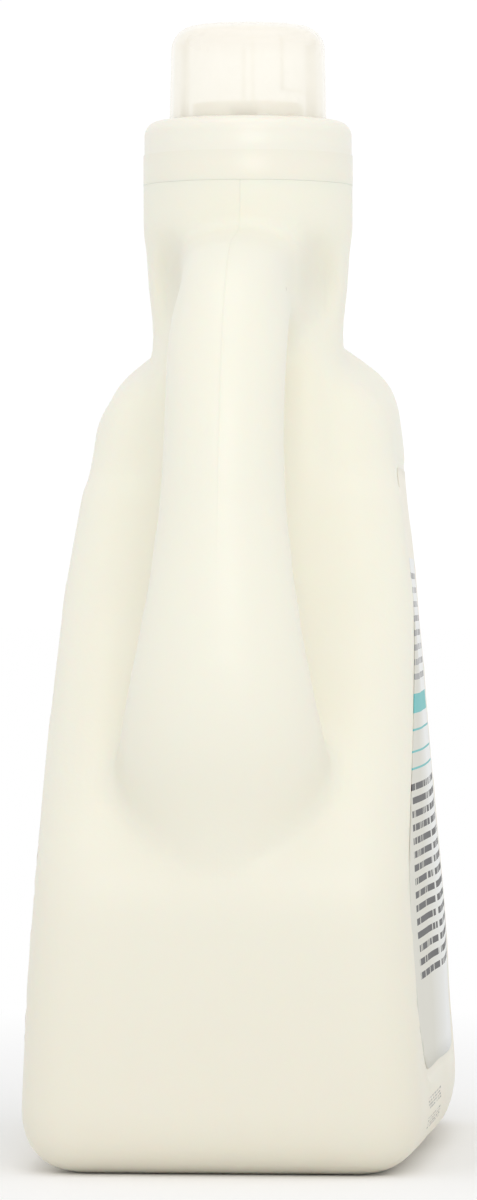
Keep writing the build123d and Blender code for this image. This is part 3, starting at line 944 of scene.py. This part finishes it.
class DETERGENT_OT_fitment(bpy.types.Operator):
    """Mould the collar, the threaded well and the pouring spout"""
    bl_idname = "detergent.fitment"
    bl_label = "Spout fitment"

    def execute(self, context):
        settings = context.scene.detergent_fitment
        shell = context.scene.detergent_shell
        thread = context.scene.detergent_thread
        wall = settings.wall
        foot = shell.neck_top + COLLAR_GAP
        band = foot + settings.collar_band
        slim = COLLAR_RADIUS - settings.collar_step
        inside = shell.finish_radius + FINISH_GAP
        well = CAP_HIGH.y + WELL_GAP
        seat = SEAL_LOW.z - SEAL_GAP
        spout = settings.spout_radius
        spout_top = COLLAR_TOP + settings.spout_rise
        form = bmesh.new()
        lathe(form, [
            (well, COLLAR_TOP, 0.4 * MM),
            (slim, COLLAR_TOP, settings.collar_round),
            (slim, band + settings.collar_step, 0),
            (COLLAR_RADIUS, band, 0),
            (COLLAR_RADIUS, foot, 0.05 * MM),
            (inside, foot, 0),
            (inside, FINISH_TOP, 0),
            (well + wall, FINISH_TOP, 0),
            (well + wall, seat - wall, 0),
            (CAP_RADIUS - 2 * wall, seat - wall, 0),
            (spout, FITMENT_LOW.z, 0),
            (spout - wall, FITMENT_LOW.z, 0),
            (spout - wall, spout_top, LIP_ROUND),
            (spout, spout_top, LIP_ROUND),
            (spout, FITMENT_LOW.z + wall, 0),
            (CAP_RADIUS - 2 * wall, seat, 0),
            (well, seat, 0),
        ], closed=True)
        form = cut_away(form, drain_cutter(spout, wall))
        half_pitch = thread.lead / thread.starts / 2
        add_threads(form, well, -thread.height, CAP_LOW.z + thread.lift + half_pitch)
        finish_piece("spout_collar", "bottle", "fitment_plastic", form,
                     fitment_material(settings.colour), "spout_fitment")
        return {"FINISHED"}


# -------------------------------------------------------------- measuring cap
MARK_TURN = radians(24.0)  # of the dose mark, from the first rib
MARK_ARC = radians(29.0)
MARK_STEPS = 10
MARK_SLOPE = 0.06 * MM  # how far each step of the dose line falls


def cup_radius(height):
    """Radius of the cup's inner face at a height."""
    settings = bpy.context.scene.detergent_cap
    share = (height - COLLAR_TOP) / (CAP_HIGH.z - settings.crown - COLLAR_TOP)
    return CAP_RADIUS - settings.wall - settings.taper * max(share, 0)


def cup_wall():
    """The upside-down cup without its ribs, turned about the neck axis."""
    settings = bpy.context.scene.detergent_cap
    wall = settings.wall
    top = CAP_HIGH.z
    slim = CAP_RADIUS - settings.taper
    form = bmesh.new()
    lathe(form, [
        (0, top, 0),
        (slim / 2, top - settings.crown / 4, 3 * MM),
        (slim, top - settings.crown, settings.corner),
        (CAP_RADIUS, COLLAR_TOP, 0),
        (CAP_RADIUS, CAP_LOW.z, LIP_ROUND),
        (CAP_RADIUS - wall, CAP_LOW.z, LIP_ROUND),
        (CAP_RADIUS - wall, COLLAR_TOP, 0),
        (slim - wall, top - settings.crown - wall, settings.corner - wall),
        (slim / 2, top - settings.crown / 4 - wall, 3 * MM),
        (0, top - wall, 0),
    ])
    return form


def add_rib(form, turn, width, low):
    """Stand one upright rib on the inside of the cup."""
    settings = bpy.context.scene.detergent_cap
    rib = bmesh.new()
    corners = block(rib, (NECK_X - settings.rib, -width / 2, low),
                    (NECK_X + settings.wall / 3, width / 2, CAP_HIGH.z - settings.rib_head))
    for vert in corners:
        vert.co.x += cup_radius(vert.co.z)
    bmesh.ops.rotate(
        rib, verts=rib.verts, cent=NECK_AXIS, matrix=Matrix.Rotation(turn, 3, "Z"))
    join(form, rib)


def add_dose_line(form, turn, height):
    """Run a fine line round part of the cup's inside, falling a little on its way."""
    settings = bpy.context.scene.detergent_cap
    line = bmesh.new()
    half = settings.mark_width / 2
    inner = NECK_X + cup_radius(height) - settings.rib
    outer = NECK_X + cup_radius(height) + settings.wall / 3
    corners = ((inner, -half), (outer, -half), (outer, half), (inner, half))
    verts = [line.verts.new((x, 0, height + rise)) for x, rise in corners]
    bmesh.ops.rotate(line, verts=verts, cent=NECK_AXIS, matrix=Matrix.Rotation(turn, 3, "Z"))
    bmesh.ops.spin(
        line, geom=[line.faces.new(verts)], cent=NECK_AXIS, axis=UP, angle=MARK_ARC,
        steps=MARK_STEPS, dvec=-UP * MARK_SLOPE)
    bmesh.ops.recalc_face_normals(line, faces=line.faces)
    join(form, line)


class DETERGENT_OT_cap(bpy.types.Operator):
    """Mould the upside-down measuring cup with its ribs, dose mark and thread"""
    bl_idname = "detergent.cap"
    bl_label = "Measuring cap"

    def execute(self, context):
        settings = context.scene.detergent_cap
        thread = context.scene.detergent_thread
        form = cup_wall()
        for k in range(settings.ribs):
            add_rib(form, settings.rib_turn + tau * k / settings.ribs, settings.rib,
                    COLLAR_TOP - 2 * MM)
        mark_low = COLLAR_TOP + settings.mark_height
        mark_start = settings.rib_turn + MARK_TURN
        add_rib(form, mark_start, settings.mark_width, mark_low)
        add_dose_line(form, mark_start, mark_low)
        add_threads(form, CAP_RADIUS, thread.height, CAP_LOW.z + thread.lift)
        finish_piece("dosing_cup", "cap", "cap_plastic", form,
                     cap_material(settings.colour, settings.cover), "measuring_cap")
        return {"FINISHED"}


# ------------------------------------------------------------ seal and labels
class DETERGENT_OT_seal(bpy.types.Operator):
    """Finish the sealing ring"""
    bl_idname = "detergent.seal"
    bl_label = "Seal ring"

    def execute(self, context):
        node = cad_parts["seal_ring"]
        node.data.materials.clear()
        node.data.materials.append(seal_material())
        return {"FINISHED"}


def cut_grid(form, pitch):
    """Cut a flat form on the middle plane into a grid."""
    low, high = LABEL_LOW, LABEL_HIGH
    for axis in (0, 2):
        for k in range(1, int((high[axis] - low[axis]) / pitch) + 1):
            place = Vector()
            place[axis] = low[axis] + k * pitch
            normal = Vector()
            normal[axis] = 1
            everything = [*form.verts, *form.edges, *form.faces]
            bmesh.ops.bisect_plane(form, geom=everything, plane_co=place, plane_no=normal)


def lay_on_skin(form, side):
    """Press a flat form sideways on the bottle's skin."""
    graph = bpy.context.evaluated_depsgraph_get()
    skin = BVHTree.FromObject(bpy.data.objects["bottle_shell"], graph)
    for vert in form.verts:
        outside = Vector((vert.co.x, side, vert.co.z))
        place, normal, _, _ = skin.ray_cast(outside, Vector((0, -side, 0)))
        vert.co = place + normal * LABEL_GLUE
    form.normal_update()
    bmesh.ops.reverse_faces(form, faces=[face for face in form.faces if face.normal.y * side < 0])


class DETERGENT_OT_labels(bpy.types.Operator):
    """Cut both labels to their outline and press them on the panels"""
    bl_idname = "detergent.labels"
    bl_label = "Labels"

    def execute(self, context):
        settings = context.scene.detergent_label
        prints = {
            "front": (-1, front_print(settings.ink, settings.accent)),
            "back": (1, back_print(settings.ink, settings.accent)),
        }
        for name, (side, material) in prints.items():
            form = label_outline(f"{name}_label")
            cut_grid(form, settings.grid)
            lay_on_skin(form, side)
            label = finish_piece(f"{name}_label_film", "bottle", f"{name}_label_film", form, material,
                                 f"{name}_label")
            sheet = label.modifiers.new("Film", "SOLIDIFY")
            sheet.thickness = settings.thickness
            sheet.offset = 1
        return {"FINISHED"}


# ---------------------------------------------------------------------- stage
FLOOR_RADIUS = 30
FLOOR_FADE = (0.12, 0.5)  # distances from the origin, in metres
SHOWN_LIGHT = 1.02
FILL_LIGHT = 0.78
LAMPS = (  # name, place in metres, size, watts, colour
    ("key", (1.5, 0.25, 0.95), (0.7, 0.7), 4.7, (1, 0.98, 0.95)),
    ("top", (0.25, 0.0, 1.5), (0.9, 0.9), 2.4, (1, 1, 1)),
)


def area_light(name, place, target, size, power, colour):
    """One soft lamp that shines from its place at the target."""
    data = bpy.data.lights.new(name, "AREA")
    data.shape = "RECTANGLE"
    data.size, data.size_y = size
    data.energy = power
    data.color = colour
    lamp = bpy.data.objects.new(name, data)
    lamp.location = place
    lamp.rotation_euler = (Vector(target) - Vector(place)).to_track_quat("-Z", "Y").to_euler()
    bpy.context.scene.collection.objects.link(lamp)


def floor_material():
    """Pale paint near the bottle that fades into an evenly lit white."""
    shader = Shader("floor_paint", (0.96, 0.96, 0.96), 0.9)
    flat = shader.node("ShaderNodeVectorMath", Vector=shader.place)
    flat.operation = "LENGTH"
    lit = shader.node("ShaderNodeEmission")
    mix = shader.node("ShaderNodeMixShader")
    shader.feed(mix.inputs[0], shader.ramp(flat.outputs["Value"], *FLOOR_FADE))
    shader.feed(mix.inputs[1], shader.base.outputs[0])
    shader.feed(mix.inputs[2], lit.outputs[0])
    shader.feed(shader.tree.nodes["Material Output"].inputs["Surface"], mix.outputs[0])
    return shader.material


def studio_world():
    """White all round, that fills the shadows with a softer light than it shows."""
    world = bpy.data.worlds.new("studio")
    world.use_nodes = True
    tree = world.node_tree
    background = tree.nodes["Background"]
    background.inputs["Color"].default_value = (1, 1, 1, 1)
    path = tree.nodes.new("ShaderNodeLightPath")
    strength = tree.nodes.new("ShaderNodeMapRange")
    strength.inputs["To Min"].default_value = SHOWN_LIGHT
    strength.inputs["To Max"].default_value = FILL_LIGHT
    tree.links.new(path.outputs["Is Diffuse Ray"], strength.inputs["Value"])
    tree.links.new(strength.outputs["Result"], background.inputs["Strength"])
    return world


class DETERGENT_OT_stage(bpy.types.Operator):
    """Set up the pale floor, the soft studio light and the camera"""
    bl_idname = "detergent.stage"
    bl_label = "Studio"

    def execute(self, context):
        scene = context.scene
        settings = scene.detergent_stage
        scene.view_settings.view_transform = "Standard"

        floor_form = bmesh.new()
        bmesh.ops.create_circle(floor_form, cap_ends=True, segments=96, radius=FLOOR_RADIUS)
        floor_mesh = bpy.data.meshes.new("floor")
        floor_form.to_mesh(floor_mesh)
        floor_form.free()
        floor = bpy.data.objects.new("floor", floor_mesh)
        floor_mesh.materials.append(floor_material())
        scene.collection.objects.link(floor)
        scene.world = studio_world()

        middle = (0, 0, CAD_BOUNDS[1].z / 2)
        for name, place, size, power, colour in LAMPS:
            area_light(name, place, middle, size, power, colour)

        camera_data = bpy.data.cameras.new("camera")
        camera_data.lens = settings.lens
        camera_data.shift_x = settings.shift
        camera = bpy.data.objects.new("camera", camera_data)
        turn = Matrix.Rotation(settings.azimuth, 4, "Z")
        stand = Matrix.Translation((0, -settings.distance, settings.eye))
        camera.matrix_world = turn @ stand @ Matrix.Rotation(pi / 2, 4, "X")
        scene.collection.objects.link(camera)
        scene.camera = camera
        return {"FINISHED"}


class DETERGENT_PT_panel(bpy.types.Panel):
    """Lists the steps that build the bottle's looks"""
    bl_idname = "DETERGENT_PT_panel"
    bl_label = "Detergent bottle"
    bl_space_type = "VIEW_3D"
    bl_region_type = "UI"
    bl_category = "Detergent"

    def draw(self, context):
        for step in STEPS:
            self.layout.operator(step.bl_idname)


SETTINGS = {
    "detergent_shell": DetergentShell,
    "detergent_fitment": DetergentFitment,
    "detergent_cap": DetergentCap,
    "detergent_thread": DetergentThread,
    "detergent_label": DetergentLabel,
    "detergent_stage": DetergentStage,
}
STEPS = (
    DETERGENT_OT_stage,
    DETERGENT_OT_shell,
    DETERGENT_OT_fitment,
    DETERGENT_OT_cap,
    DETERGENT_OT_seal,
    DETERGENT_OT_labels,
)
CLASSES = (*SETTINGS.values(), *STEPS, DETERGENT_PT_panel)


def register():
    for cls in CLASSES:
        bpy.utils.register_class(cls)
    for name, group in SETTINGS.items():
        setattr(bpy.types.Scene, name, PointerProperty(type=group))


def unregister():
    for name in SETTINGS:
        delattr(bpy.types.Scene, name)
    for cls in reversed(CLASSES):
        bpy.utils.unregister_class(cls)


def main():
    """Build every piece."""
    register()
    for step in STEPS:
        group, name = step.bl_idname.split(".")
        getattr(getattr(bpy.ops, group), name)()


if __name__ == "__main__":
    main()
